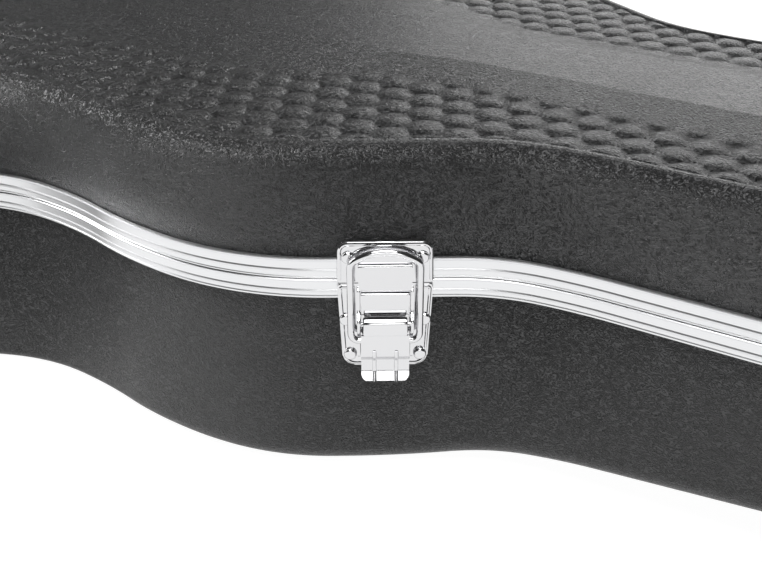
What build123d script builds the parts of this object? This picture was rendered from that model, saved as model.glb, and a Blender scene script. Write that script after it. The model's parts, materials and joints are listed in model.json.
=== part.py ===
from build123d import *
from math import asin, copysign, cos, degrees, radians, sin
import os

# A moulded plastic case for a large flat-top guitar, shut and lying on its back.
# Frame: the origin is on the flat bottom, on the centreline, at the waist. +X runs to the
# head end, -Y is the side with the latches, +Z is up. All sizes are in millimetres.

# ---------------------------------------------------------------- driving dimensions
PARTING = 103.0  # height of the plane where lid and base meet
LID_TOP = PARTING + 57.7  # the flat top of the lid
BAND_RISE = 3.3  # the centre band stands this far above the flat top
WALL = 3.0  # moulded shell
LID_EDGE_R = 12.0
BASE_EDGE_R = 12.0

# The half outline starts at the tail's centre, heading outwards, and each stretch is
# (size, turn): an arc of radius size through turn degrees, clockwise negative, or a
# straight run of length size where the turn is 0.
TAIL_X = -349.0
OUTLINE = [
    (420.0, -15.0),
    (147.5, -75.0),
    (231.0, -34.5),
    (110.0, 34.5),
    (200.0, 11.8),
    (225.0, -11.8),
    (128.0, -33.5),
    (53.5, 0.0),
    (85.0, 24.5),
    (250.0, 7.0),
    (165.0, 0.0),
    (1500.0, -3.0),
    (175.0, 0.0),
    (45.0, -85.0),
]
TAIL, TAIL_CORNER, LOWER_BOUT = 0, 1, 2
SHOULDER, FLANK, NECK_RUN = 6, 7, 10

# The underside as seen from the side, from the tail: flat, a ramp up under the neck, level.
UNDERSIDE = [(530.0, 0.0), (400.0, 6.6), (155.0, 0.0), (400.0, -6.6), (500.0, 0.0)]

# The centre band's foot and its level top, as half outlines from the head to the tail
BAND_FOOT = [(700, 0), (696, 44), (180, 44), (45, 72), (-235, 72), (-290, 40), (-300, 0)]
BAND_LAND = [(690, 0), (686, 31), (180, 31), (45, 31), (-225, 31), (-262, 20), (-268, 0)]

# Two-part aluminium edge: a tongue on the base runs in a groove in the lid.
VALANCE_OUT = 2.4  # the face stands this far outside the shell's wall
VALANCE_IN = 4.4  # the inner lip reaches this far inside it
BASE_LIP = 8.8
LID_LIP = 9.8
SEAM = 0.4  # gap between the two halves
TONGUE = (0.7, 2.3, 1.6)  # from, to and height
GROOVE = (0.2, 2.8, 2.6)
LIP_WEB = 1.6

# Plush-covered foam
LINING_INSET = 4.6
BASE_LINING_TOP = PARTING - 1.0
LID_LINING_BOTTOM = PARTING + SEAM + 1.0
LID_LINING_THICK = 8.0
BODY_CAVITY_INSET = 26.0
BODY_CAVITY_END = 175.0
BODY_FLOOR = 16.0
NECK_FLOOR = 60.0
NECK_HALF = 40.0
HEAD_FLOOR = 50.0
HEAD_HALF = 52.0
HEAD_START, HEAD_END = 560.0, 704.0
SHELF_TOP = 72.0
SHELF_END = 300.0
SHELF_HALF = 62.0
CRADLE_END = 350.0
CRADLE_TOP = 112.0
CRADLE_NOTCH = 88.0
NOTCH_HALF = 32.0
POCKET_START, POCKET_END = 224.0, 286.0
POCKET_HALF = 56.0
POCKET_FLOOR = 32.0
FLAP_THICK = 5.0
FLAP_REST = 5.0  # ledge that the flap lies on
FLAP_GAP = 0.5

# Fittings on the wall, in a frame of their own: u along the wall, v up from the seam and
# p outwards from the wall.
PLATE_BACK = VALANCE_OUT + 0.05
PLATE = 1.15
PLATE_FACE = PLATE_BACK + PLATE
RIVET_R = 2.85
RIVET_RISE = 1.5
SHANK_R = 1.6

# Latch
KEEPER_HALF, KEEPER_TOP, KEEPER_LOW = 20.2, 18.5, -0.7
KEEPER_TOP_HALF = 19.7
LATCH_TOP_HALF, LATCH_LOW_HALF = 20.2, 18.3
LATCH_TOP, LATCH_DROP = -1.1, 42.3
STRIP_FACE = PLATE_BACK + 3.2
KEEPER_STRIP_HALF, KEEPER_STRIP_TOP, KEEPER_STRIP_LOW = 11.3, 8.3, -3.9
BRIDGE_HALF, BRIDGE_TOP, BRIDGE_LOW = 10.3, -5.1, -15.7
LEVER_V, LEVER_P = -18.6, PLATE_BACK + 5.7
LEVER_R, LEVER_PIN_R = 2.4, 1.0
LEVER_HALF, LEVER_TOP_HALF = 10.4, 9.4
LEVER_PLATE = 1.2
BAIL_V, BAIL_P = -26.9, PLATE_BACK + 5.1
BAIL_R, BAIL_HALF = 1.5, 14.6
BAIL_END, BAIL_FOOT_R, BAIL_LEG_TOP, BAIL_HEAD_R, BAIL_ARCH = 8.0, 3.5, 8.2, 4.5, 31.6
LATCH_EAR_U, LATCH_EAR, LATCH_EAR_R = 9.8, 1.2, 3.4
LEVER_FACE = LEVER_P + LEVER_R
LEVER_PROFILE = [
    (v, LEVER_FACE - drop)
    for v, drop in [(-22.9, 0.0), (-33.0, 0.0), (-36.6, 2.3), (-42.3, 2.3), (-46.8, 0.3)]
]
LUG, LUG_TALL, LUG_LOW = 2.6, 5.0, PLATE_BACK + 2.8
RUNNING = 0.05  # radial clearance of every pivot
KEEPER_RIVETS = [(-15.4, 11.4), (15.4, 11.4)]
LATCH_RIVETS = [(-16.7, -18.6), (16.7, -18.6), (-15.1, -36.3), (15.1, -36.3)]

# Hinge line: a straight line that clears both bouts and the head on the +Y side
HINGE_TURN = 9.4
KNUCKLE_R, HINGE_PIN_R = 3.0, 1.4
KNUCKLE_CLEAR = 0.35  # from the knuckles to the valance at the lower bout
HINGE_HALF = 25.0
KNUCKLES = 5
HINGE_GAP = 0.4
LEAF = 1.5
LEAF_STEP = 12.0  # where a leaf steps in from the knuckles to the wall
LEAF_REACH = 38.0
HINGE_RIVETS = [(-16.0, 18.0), (16.0, 18.0), (-16.0, 31.0), (16.0, 31.0)]

# Handle
HANDLE_SHARE = 0.42  # place along the lower bout's stretch
HANDLE_V, HANDLE_P = -26.0, 12.5
HANDLE_HALF = 57.0
HANDLE_LOW, HANDLE_HIGH = -80.0, -20.0
GRIP_TALL, GRIP_DEEP = 24.0, 18.0
ARM = 11.0
HANDLE_PIN_R = 3.0
PAD_HALF, PAD_HIGH, PAD = 12.0, 15.5, 3.0
EAR_HALF, EAR = 6.0, 3.0
HANDLE_RIVETS = [(0.0, HANDLE_V + 10.8), (0.0, HANDLE_V - 10.8)]

os.makedirs("parts", exist_ok=True)


# ---------------------------------------------------------------- outline and forms
def stations(inset=0.0):
    """Start, heading, size and turn of each outline stretch, for a wall moved inwards."""
    x, y, heading = TAIL_X + inset, 0.0, 90.0
    places = []
    for size, turn in OUTLINE:
        bent = size + inset * copysign(1, turn) if turn else size
        places.append((x, y, heading, bent, turn))
        x, y, heading = step(x, y, heading, bent, turn)
    places.append((x, y, heading, 0.0, 0.0))
    return places


def step(x, y, heading, size, turn, share=1.0):
    """The point and heading at a share of the way along one stretch."""
    angle = radians(heading)
    if turn == 0:
        return x + share * size * cos(angle), y + share * size * sin(angle), heading
    side = copysign(size, turn)
    after = radians(heading + share * turn)
    x += side * (sin(after) - sin(angle))
    y -= side * (cos(after) - cos(angle))
    return x, y, heading + share * turn


def half_line(places):
    """The tangent chain of arcs and runs, drawn in the current BuildLine."""
    for x, y, heading, size, turn in places[:-1]:
        direction = (cos(radians(heading)), sin(radians(heading)))
        if turn:
            JernArc(start=(x, y), tangent=direction, radius=size, arc_size=turn)
        else:
            end_x, end_y, _ = step(x, y, heading, size, turn)
            Line((x, y), (end_x, end_y))


def outline_sketch(inset, height):
    """The whole plan outline, moved inwards by inset, at a height."""
    places = stations(inset)
    end_x, end_y = places[-1][:2]
    with BuildSketch(Plane.XY.offset(height)) as plan:
        with BuildLine():
            half_line(places)
            Line((end_x, end_y), (end_x, 0))
            mirror(about=Plane.XZ)
        make_face()
    return plan.sketch


def slab(inset, low, high):
    with BuildPart() as body:
        add(outline_sketch(inset, low))
        extrude(amount=high - low)
    return body.part


def ring(outer, inner, low, high):
    with BuildPart() as body:
        add(slab(outer, low, high))
        add(slab(inner, low, high), mode=Mode.SUBTRACT)
    return body.part


def underside_cut(inset):
    """The room above the underside, moved inwards by inset."""
    x, z, heading = TAIL_X - 20.0, inset, 0.0
    start = (x, z)
    with BuildPart() as room:
        with BuildSketch(Plane.XZ.offset(-300.0)):
            with BuildLine():
                for size, turn in UNDERSIDE:
                    bent = size - inset * copysign(1, turn) if turn else size
                    direction = (cos(radians(heading)), sin(radians(heading)))
                    after = step(x, z, heading, bent, turn)
                    if turn:
                        JernArc(start=(x, z), tangent=direction, radius=bent, arc_size=turn)
                    else:
                        Line((x, z), after[:2])
                    x, z, heading = after
                Polyline((x, z), (x, 200.0), (start[0], 200.0), start)
            make_face()
        extrude(amount=600.0)
    return room.part


def base_form(inset, high):
    """The base as one solid, rounded along its lower edge."""
    with BuildPart() as form:
        add(slab(inset, -5.0, high))
        add(underside_cut(inset), mode=Mode.INTERSECT)
        low_edges = [e for e in form.edges() if e.bounding_box().max.Z < PARTING / 2]
        fillet([e for e in low_edges if not crosses(e)], BASE_EDGE_R - inset)
    return form.part


def crosses(edge):
    """Whether an edge is one of the straight lines across the underside."""
    return edge.geom_type == GeomType.LINE and abs((edge % 0.5).Y) > 0.99 and edge.length > 100


def lid_form(inset, low):
    """The lid as one solid, rounded along its upper edge, without the centre band."""
    with BuildPart() as form:
        add(slab(inset, low, LID_TOP - inset))
        fillet(form.faces().sort_by(Axis.Z)[-1].edges(), LID_EDGE_R - inset)
    return form.part


def fitting_plane(x, y, normal_angle, height):
    """A plane on the wall: x along it, y up and z outwards."""
    outward = (cos(radians(normal_angle)), sin(radians(normal_angle)), 0)
    along = (-outward[1], outward[0], 0)
    return Plane(origin=(x, y, height), x_dir=along, z_dir=outward)


def latch_side_plane(stretch, share):
    """The fitting plane at a share of an outline stretch on the -Y side."""
    x, y, heading = step(*stations()[stretch][:5], share=share)
    return fitting_plane(x, -y, -(heading + 90.0), PARTING)


def hinge_side_plane(stretch):
    """The fitting plane where a bout's wall runs parallel to the hinge line."""
    x, y, _, radius, _ = stations()[stretch]
    normal = radians(90.0 - HINGE_TURN)
    return fitting_plane(
        x + radius * cos(normal), y - radius + radius * sin(normal), 90.0 - HINGE_TURN, PARTING
    )


def rivet_group(spots, face):
    """Domed rivets in fitting coordinates, with their heads on a face."""
    with BuildPart() as rivets:
        with BuildSketch(Plane.XY.offset(face)):
            with Locations(*spots):
                Circle(RIVET_R)
        extrude(amount=RIVET_RISE)
        fillet(rivets.faces().group_by(Axis.Z)[-1].edges(), RIVET_RISE * 0.8)
        with BuildSketch(Plane.XY.offset(-WALL)):
            with Locations(*spots):
                Circle(SHANK_R)
        extrude(amount=WALL + face)
    return rivets.part


def rivet_holes(spots):
    """What the rivets' shanks take out of a plate and the shell."""
    with BuildPart() as holes:
        with BuildSketch(Plane.XY.offset(-3 * WALL)):
            with Locations(*spots):
                Circle(SHANK_R)
        extrude(amount=8 * WALL)
    return holes.part


LATCHES = {
    "tail": latch_side_plane(TAIL, 0.5),
    "bout": latch_side_plane(TAIL_CORNER, 0.62),
    "shoulder": latch_side_plane(FLANK, 0.44),
    "neck": latch_side_plane(NECK_RUN, 0.85),
    "head": fitting_plane(stations()[-1][0], 0.0, 0.0, PARTING),
}
HINGES = {"bout": hinge_side_plane(LOWER_BOUT), "shoulder": hinge_side_plane(SHOULDER)}
HANDLE_PLANE = latch_side_plane(LOWER_BOUT, HANDLE_SHARE)
HANDLE_SPREAD = degrees(asin(HANDLE_HALF / OUTLINE[LOWER_BOUT][0])) / -OUTLINE[LOWER_BOUT][1]
BRACKET_PLANES = {
    "rear": latch_side_plane(LOWER_BOUT, HANDLE_SHARE - HANDLE_SPREAD),
    "front": latch_side_plane(LOWER_BOUT, HANDLE_SHARE + HANDLE_SPREAD),
}
# The hinge line stands just clear of the valance at the lower bout.
HINGE_DISTANCE = (
    HINGES["bout"].origin.dot(HINGES["bout"].z_dir) + VALANCE_OUT + KNUCKLE_CLEAR + KNUCKLE_R
)


# ---------------------------------------------------------------- shells
with BuildPart() as shell_holes:
    for place in LATCHES.values():
        add(rivet_holes(KEEPER_RIVETS + LATCH_RIVETS).moved(place.location))
    for place in HINGES.values():
        both = HINGE_RIVETS + [(u, -v) for u, v in HINGE_RIVETS]
        add(rivet_holes(both).moved(place.location))
    for place in BRACKET_PLANES.values():
        add(rivet_holes(HANDLE_RIVETS).moved(place.location))

with BuildPart() as base_shell:
    add(base_form(0.0, PARTING - LIP_WEB))
    add(base_form(WALL, PARTING), mode=Mode.SUBTRACT)
    add(shell_holes.part, mode=Mode.SUBTRACT)
base_shell.part.label = "base_shell"
export_step(base_shell.part, "parts/base_shell.step")

# The centre band: level in the middle, with a flank on each side that widens at the body.
with BuildPart() as band:
    with BuildSketch(Plane.XY.offset(LID_TOP - 0.5)):
        with BuildLine():
            Polyline(BAND_FOOT)
            mirror(about=Plane.XZ)
        make_face()
    with BuildSketch(Plane.XY.offset(LID_TOP + BAND_RISE)):
        with BuildLine():
            Polyline(BAND_LAND)
            mirror(about=Plane.XZ)
        make_face()
    loft(ruled=True)

with BuildPart() as lid_shell:
    add(lid_form(0.0, PARTING + SEAM + GROOVE[2] + LIP_WEB))
    add(lid_form(WALL, PARTING), mode=Mode.SUBTRACT)
    add(band.part)
    add(shell_holes.part, mode=Mode.SUBTRACT)
lid_shell.part.label = "lid_shell"
export_step(lid_shell.part, "parts/lid_shell.step")


# ---------------------------------------------------------------- valance
with BuildPart() as base_valance:
    add(ring(-VALANCE_OUT, VALANCE_IN, PARTING - BASE_LIP, PARTING))
    add(ring(0.0, WALL, PARTING - BASE_LIP, PARTING - LIP_WEB), mode=Mode.SUBTRACT)
    add(ring(TONGUE[0], TONGUE[1], PARTING, PARTING + TONGUE[2]))
base_valance.part.label = "base_valance"
export_step(base_valance.part, "parts/base_valance.step")

with BuildPart() as lid_valance:
    low = PARTING + SEAM
    add(ring(-VALANCE_OUT, VALANCE_IN, low, PARTING + LID_LIP))
    add(ring(0.0, WALL, low + GROOVE[2] + LIP_WEB, PARTING + LID_LIP), mode=Mode.SUBTRACT)
    add(ring(GROOVE[0], GROOVE[1], low, low + GROOVE[2]), mode=Mode.SUBTRACT)
    add(shell_holes.part, mode=Mode.SUBTRACT)
lid_valance.part.label = "lid_valance"
export_step(lid_valance.part, "parts/lid_valance.step")


# ---------------------------------------------------------------- latches
def chamfered_plate(top, top_half, low, low_half, top_r, low_r):
    """A latch plate that lies over the valance, with rounded corners."""
    with BuildPart() as plate:
        with BuildSketch(Plane.XY.offset(PLATE_BACK)) as face:
            with BuildLine():
                Polyline(
                    (-low_half, low), (low_half, low), (top_half, top), (-top_half, top), close=True
                )
            make_face()
            fillet(face.vertices().group_by(Axis.Y)[-1], top_r)
            fillet(face.vertices().group_by(Axis.Y)[0], low_r)
        extrude(amount=PLATE)
    return plate.part


with BuildPart() as keeper:
    add(chamfered_plate(KEEPER_TOP, KEEPER_TOP_HALF, KEEPER_LOW, KEEPER_HALF, 4.0, 0.6))
    with BuildSketch(Plane.YZ):
        with BuildLine():
            Polyline(
                (KEEPER_STRIP_TOP, PLATE_BACK),
                (KEEPER_STRIP_TOP, STRIP_FACE),
                (KEEPER_STRIP_LOW, STRIP_FACE),
                (KEEPER_STRIP_LOW, STRIP_FACE - 1.2),
                (KEEPER_LOW, STRIP_FACE - 1.2),
                (KEEPER_LOW, PLATE_BACK),
                close=True,
            )
        make_face()
    extrude(amount=KEEPER_STRIP_HALF, both=True)
    add(rivet_holes(KEEPER_RIVETS), mode=Mode.SUBTRACT)

with BuildPart() as latch_plate:
    add(chamfered_plate(LATCH_TOP, LATCH_TOP_HALF, -LATCH_DROP, LATCH_LOW_HALF, 1.5, 5.0))
    with BuildSketch(Plane.XY.offset(PLATE_BACK)):
        with Locations((0, (BRIDGE_TOP + BRIDGE_LOW) / 2)):
            Rectangle(2 * BRIDGE_HALF, BRIDGE_TOP - BRIDGE_LOW)
    extrude(amount=STRIP_FACE - PLATE_BACK)
    for side in (-1, 1):
        with BuildSketch(Plane.YZ.offset(side * LATCH_EAR_U)):
            with Locations((LEVER_V, LEVER_P)):
                Circle(LATCH_EAR_R)
            with Locations((LEVER_V, (LEVER_P + PLATE_BACK) / 2)):
                Rectangle(2 * LATCH_EAR_R, LEVER_P - PLATE_BACK)
        extrude(amount=side * LATCH_EAR)
    with BuildSketch(Plane.YZ):
        with Locations((LEVER_V, LEVER_P)):
            Circle(LEVER_PIN_R)
    extrude(amount=LATCH_EAR_U + 2 * LATCH_EAR, both=True, mode=Mode.SUBTRACT)
    add(rivet_holes(LATCH_RIVETS), mode=Mode.SUBTRACT)

with BuildPart() as lever:
    with BuildSketch(Plane.YZ):
        with Locations((LEVER_V, LEVER_P)):
            Circle(LEVER_R)
        with Locations((LEVER_V - 2.5, LEVER_FACE - LEVER_PLATE / 2)):
            Rectangle(5.0, LEVER_PLATE)
    extrude(amount=LEVER_TOP_HALF, both=True)
    with BuildSketch(Plane.YZ):
        with BuildLine():
            Polyline(
                *LEVER_PROFILE, *[(v, p - LEVER_PLATE) for v, p in reversed(LEVER_PROFILE)], close=True
            )
        make_face()
    extrude(amount=LEVER_HALF, both=True)
    for side in (-1, 1):
        with BuildSketch(Plane.YZ.offset(side * LEVER_HALF)):
            with Locations((BAIL_V, (LEVER_FACE - 0.6 + LUG_LOW) / 2)):
                Rectangle(LUG_TALL, LEVER_FACE - 0.6 - LUG_LOW)
        extrude(amount=-side * LUG)
    with BuildSketch(Plane.YZ):
        with Locations((LEVER_V, LEVER_P)):
            Circle(LEVER_PIN_R + RUNNING)
        with Locations((BAIL_V, BAIL_P)):
            Circle(BAIL_R + RUNNING)
    extrude(amount=LEVER_HALF + 1.0, both=True, mode=Mode.SUBTRACT)

with BuildPart() as bail:
    with BuildLine(Plane.XY.offset(BAIL_P)) as wire:
        foot = Line((BAIL_END, BAIL_V), (BAIL_HALF - BAIL_FOOT_R, BAIL_V))
        foot_bend = JernArc(foot @ 1, (1, 0), BAIL_FOOT_R, 90)
        leg = Line(foot_bend @ 1, (BAIL_HALF, BAIL_LEG_TOP))
        head_bend = JernArc(leg @ 1, (0, 1), BAIL_HEAD_R, 90 - BAIL_ARCH)
        arch_r = (head_bend @ 1).X / sin(radians(BAIL_ARCH))
        JernArc(head_bend @ 1, head_bend % 1, arch_r, BAIL_ARCH)
        mirror(about=Plane.YZ)
    with BuildSketch(Plane(origin=(BAIL_END, BAIL_V, BAIL_P), z_dir=(1, 0, 0))):
        Circle(BAIL_R)
    sweep(path=wire.wire())

with BuildPart() as lever_pin:
    with BuildSketch(Plane.YZ):
        with Locations((LEVER_V, LEVER_P)):
            Circle(LEVER_PIN_R)
    extrude(amount=LATCH_EAR_U + LATCH_EAR + 0.5, both=True)

LATCH_PIECES = {
    "keeper": keeper,
    "plate": latch_plate,
    "lever": lever,
    "bail": bail,
    "pin": lever_pin,
}
for name, place in LATCHES.items():
    for piece, master in LATCH_PIECES.items():
        with BuildPart() as fitted:
            add(master.part.moved(place.location))
        fitted.part.label = f"latch_{name}_{piece}"
        export_step(fitted.part, f"parts/latch_{name}_{piece}.step")

with BuildPart() as keeper_rivets:
    for place in LATCHES.values():
        add(rivet_group(KEEPER_RIVETS, PLATE_FACE).moved(place.location))
keeper_rivets.part.label = "keeper_rivets"
export_step(keeper_rivets.part, "parts/keeper_rivets.step")

with BuildPart() as latch_rivets:
    for place in LATCHES.values():
        add(rivet_group(LATCH_RIVETS, PLATE_FACE).moved(place.location))
latch_rivets.part.label = "latch_rivets"
export_step(latch_rivets.part, "parts/latch_rivets.step")


# ---------------------------------------------------------------- hinges
def hinge_leaf(axis_p, up, kept):
    """One leaf: knuckles on the hinge line, a step in to the wall, and a riveted plate."""
    strap = axis_p - KNUCKLE_R
    axis_v = SEAM / 2
    with BuildPart() as leaf:
        with BuildSketch(Plane.YZ):
            with Locations((axis_v, axis_p)):
                Circle(KNUCKLE_R)
            with Locations((up * LEAF_STEP / 2 + axis_v / 2, strap + LEAF / 2)):
                Rectangle(LEAF_STEP - up * axis_v, LEAF)
            with Locations((up * (LEAF_STEP - LEAF / 2), (PLATE_BACK + strap + LEAF) / 2)):
                Rectangle(LEAF, strap + LEAF - PLATE_BACK)
            with Locations((up * (LEAF_STEP - LEAF + LEAF_REACH) / 2, PLATE_BACK + LEAF / 2)):
                Rectangle(LEAF_REACH - LEAF_STEP + LEAF, LEAF)
        extrude(amount=HINGE_HALF, both=True)
        pitch = 2 * HINGE_HALF / KNUCKLES
        room = 2 * (KNUCKLE_R + HINGE_GAP)
        for index in range(KNUCKLES):
            if index not in kept:
                with Locations(((index + 0.5) * pitch - HINGE_HALF, axis_v, axis_p)):
                    Box(pitch + HINGE_GAP, room, room, mode=Mode.SUBTRACT)
        with BuildSketch(Plane.YZ):
            with Locations((axis_v, axis_p)):
                Circle(HINGE_PIN_R + (RUNNING if up > 0 else 0.0))
        extrude(amount=HINGE_HALF + 1.0, both=True, mode=Mode.SUBTRACT)
        add(rivet_holes([(u, up * v) for u, v in HINGE_RIVETS]), mode=Mode.SUBTRACT)
    return leaf.part


for name, place in HINGES.items():
    axis_p = HINGE_DISTANCE - place.origin.dot(place.z_dir)

    with BuildPart() as base_leaf:
        add(hinge_leaf(axis_p, -1, (0, 2, 4)).moved(place.location))
    base_leaf.part.label = f"hinge_{name}_base_leaf"
    export_step(base_leaf.part, f"parts/hinge_{name}_base_leaf.step")

    with BuildPart() as lid_leaf:
        add(hinge_leaf(axis_p, 1, (1, 3)).moved(place.location))
    lid_leaf.part.label = f"hinge_{name}_lid_leaf"
    export_step(lid_leaf.part, f"parts/hinge_{name}_lid_leaf.step")

    with BuildPart() as hinge_pin:
        with BuildSketch(Plane.YZ):
            with Locations((SEAM / 2, axis_p)):
                Circle(HINGE_PIN_R)
        extrude(amount=HINGE_HALF, both=True)
    hinge_pin.part.locate(place.location)
    hinge_pin.part.label = f"hinge_{name}_pin"
    export_step(hinge_pin.part, f"parts/hinge_{name}_pin.step")

with BuildPart() as hinge_base_rivets:
    for place in HINGES.values():
        spots = [(u, -v) for u, v in HINGE_RIVETS]
        add(rivet_group(spots, PLATE_BACK + LEAF).moved(place.location))
hinge_base_rivets.part.label = "hinge_base_rivets"
export_step(hinge_base_rivets.part, "parts/hinge_base_rivets.step")

with BuildPart() as hinge_lid_rivets:
    for place in HINGES.values():
        add(rivet_group(HINGE_RIVETS, PLATE_BACK + LEAF).moved(place.location))
hinge_lid_rivets.part.label = "hinge_lid_rivets"
export_step(hinge_lid_rivets.part, "parts/hinge_lid_rivets.step")


# ---------------------------------------------------------------- handle
def across(side, half_gap, width):
    """Where two slices of a width start, each half_gap from the handle's end point."""
    return [side * HANDLE_HALF - half_gap - width, side * HANDLE_HALF + half_gap]


for name, side in (("rear", -1), ("front", 1)):
    with BuildPart() as bracket:
        with BuildSketch(Plane.XY.offset(-20.0)):
            with Locations((side * HANDLE_HALF, HANDLE_V)):
                RectangleRounded(2 * PAD_HALF, 2 * PAD_HIGH, 4.0)
        extrude(amount=40.0)
        add(slab(-PAD, -10.0, PARTING).moved(HANDLE_PLANE.location.inverse()), mode=Mode.INTERSECT)
        for start in across(side, ARM / 2 + 0.5, EAR):
            with BuildSketch(Plane.YZ.offset(start)):
                with Locations((HANDLE_V, HANDLE_P)):
                    Circle(EAR_HALF)
                with Locations((HANDLE_V, (HANDLE_P - 12.0) / 2)):
                    Rectangle(2 * EAR_HALF, HANDLE_P + 12.0)
            extrude(amount=EAR)
        with BuildSketch(Plane.YZ.offset(side * HANDLE_HALF)):
            with Locations((HANDLE_V, HANDLE_P)):
                Circle(HANDLE_PIN_R)
        extrude(amount=2 * ARM, both=True, mode=Mode.SUBTRACT)
        add(slab(0.0, -10.0, PARTING).moved(HANDLE_PLANE.location.inverse()), mode=Mode.SUBTRACT)
        spots = rivet_holes(HANDLE_RIVETS).moved(BRACKET_PLANES[name].location)
        add(spots.moved(HANDLE_PLANE.location.inverse()), mode=Mode.SUBTRACT)
    bracket.part.locate(HANDLE_PLANE.location)
    bracket.part.label = f"handle_bracket_{name}"
    export_step(bracket.part, f"parts/handle_bracket_{name}.step")

with BuildPart() as handle_grip:
    with BuildSketch(Plane.XY.offset(HANDLE_P - GRIP_DEEP / 2)) as grip_face:
        with Locations((0, (HANDLE_LOW + HANDLE_HIGH) / 2)):
            Rectangle(2 * HANDLE_HALF + ARM, HANDLE_HIGH - HANDLE_LOW)
        fillet(grip_face.vertices().group_by(Axis.Y)[0], 16.0)
        with Locations((0, HANDLE_LOW + GRIP_TALL + GRIP_DEEP * 2)):
            Rectangle(2 * HANDLE_HALF - ARM, GRIP_DEEP * 4, mode=Mode.SUBTRACT)
    extrude(amount=GRIP_DEEP)
    front_back = handle_grip.faces().filter_by(Axis.Z)
    fillet(front_back.edges(), 4.0)
    with BuildSketch(Plane.YZ):
        with Locations((HANDLE_V, HANDLE_P)):
            Circle(HANDLE_PIN_R + RUNNING)
    extrude(amount=HANDLE_HALF + ARM, both=True, mode=Mode.SUBTRACT)
handle_grip.part.locate(HANDLE_PLANE.location)
handle_grip.part.label = "handle_grip"
export_step(handle_grip.part, "parts/handle_grip.step")

with BuildPart() as handle_pins:
    for side in (-1, 1):
        with BuildSketch(Plane.YZ.offset(side * HANDLE_HALF)):
            with Locations((HANDLE_V, HANDLE_P)):
                Circle(HANDLE_PIN_R)
        extrude(amount=ARM / 2 + 0.5 + EAR, both=True)
handle_pins.part.locate(HANDLE_PLANE.location)
handle_pins.part.label = "handle_pins"
export_step(handle_pins.part, "parts/handle_pins.step")

with BuildPart() as handle_rivets:
    for place in BRACKET_PLANES.values():
        add(rivet_group(HANDLE_RIVETS, PAD).moved(place.location))
handle_rivets.part.label = "handle_rivets"
export_step(handle_rivets.part, "parts/handle_rivets.step")


# ---------------------------------------------------------------- lining and storage
def room(start, end, half, floor, high=PARTING + 5.0, corner=6.0):
    """A box-shaped hollow along the centreline, rounded in plan."""
    with BuildPart() as hollow:
        with BuildSketch(Plane.XY.offset(floor)):
            with Locations(((start + end) / 2, 0)):
                RectangleRounded(end - start, 2 * half, corner)
        extrude(amount=high - floor)
    return hollow.part


with BuildPart() as body_cavity:
    add(slab(BODY_CAVITY_INSET, BODY_FLOOR, PARTING + 5.0))
    with Locations((BODY_CAVITY_END - 1000.0, 0, 0)):
        Box(2000.0, 1000.0, 1000.0, mode=Mode.INTERSECT)

with BuildPart() as padding:
    add(base_form(LINING_INSET, BASE_LINING_TOP))
    add(body_cavity.part, mode=Mode.SUBTRACT)
    add(room(BODY_CAVITY_END - 20.0, SHELF_END + 2.0, SHELF_HALF, SHELF_TOP), mode=Mode.SUBTRACT)
    add(room(POCKET_START, POCKET_END, POCKET_HALF, POCKET_FLOOR), mode=Mode.SUBTRACT)
    ledge = SHELF_TOP - FLAP_THICK
    add(
        room(
            POCKET_START - FLAP_REST,
            POCKET_END + FLAP_REST,
            POCKET_HALF + FLAP_REST,
            ledge,
        ),
        mode=Mode.SUBTRACT,
    )
    add(room(SHELF_END, CRADLE_END, SHELF_HALF, NECK_FLOOR, corner=0.4), mode=Mode.SUBTRACT)
    add(room(CRADLE_END - 20.0, HEAD_START + 30.0, NECK_HALF, NECK_FLOOR), mode=Mode.SUBTRACT)
    add(room(HEAD_START, HEAD_END, HEAD_HALF, HEAD_FLOOR, corner=20.0), mode=Mode.SUBTRACT)


def block(start, end, low, high):
    """A block across the whole case between two stations and two heights."""
    with BuildPart() as piece:
        with Locations(((start + end) / 2, 0, (low + high) / 2)):
            Box(end - start, 1000.0, high - low)
    return piece.part


# The padding comes as foam pieces that meet face to face.
PADS = {
    "body_floor_pad": block(-1000.0, BODY_CAVITY_END, 0.0, BODY_FLOOR),
    "body_side_padding": block(-1000.0, BODY_CAVITY_END, BODY_FLOOR, PARTING),
    "pocket_box": block(BODY_CAVITY_END, SHELF_END, 0.0, SHELF_TOP),
    "pocket_side_walls": block(BODY_CAVITY_END, SHELF_END, SHELF_TOP, PARTING),
    "neck_trough": block(SHELF_END, HEAD_START, 0.0, PARTING),
    "head_trough": block(HEAD_START, 1000.0, 0.0, PARTING),
}
for name, space in PADS.items():
    with BuildPart() as pad:
        add(padding.part)
        add(space, mode=Mode.INTERSECT)
    pad.part.label = name
    export_step(pad.part, f"parts/{name}.step")

with BuildPart() as lid_lining:
    add(lid_form(LINING_INSET, LID_LINING_BOTTOM))
    add(lid_form(LINING_INSET + LID_LINING_THICK - 1.0, PARTING - 5.0), mode=Mode.SUBTRACT)
lid_lining.part.label = "lid_lining"
export_step(lid_lining.part, "parts/lid_lining.step")

with BuildPart() as neck_cradle:
    with BuildSketch(Plane.YZ.offset(SHELF_END + 0.5)):
        with Locations((0, (NECK_FLOOR + CRADLE_TOP) / 2)):
            RectangleRounded(2 * SHELF_HALF - 1.0, CRADLE_TOP - NECK_FLOOR, 5.0)
        with Locations((0, (CRADLE_NOTCH + CRADLE_TOP + 20.0) / 2)):
            RectangleRounded(
                2 * NOTCH_HALF, CRADLE_TOP + 20.0 - CRADLE_NOTCH, 18.0, mode=Mode.SUBTRACT
            )
    extrude(amount=CRADLE_END - SHELF_END - 1.0)
neck_cradle.part.label = "neck_cradle"
export_step(neck_cradle.part, "parts/neck_cradle.step")

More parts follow.
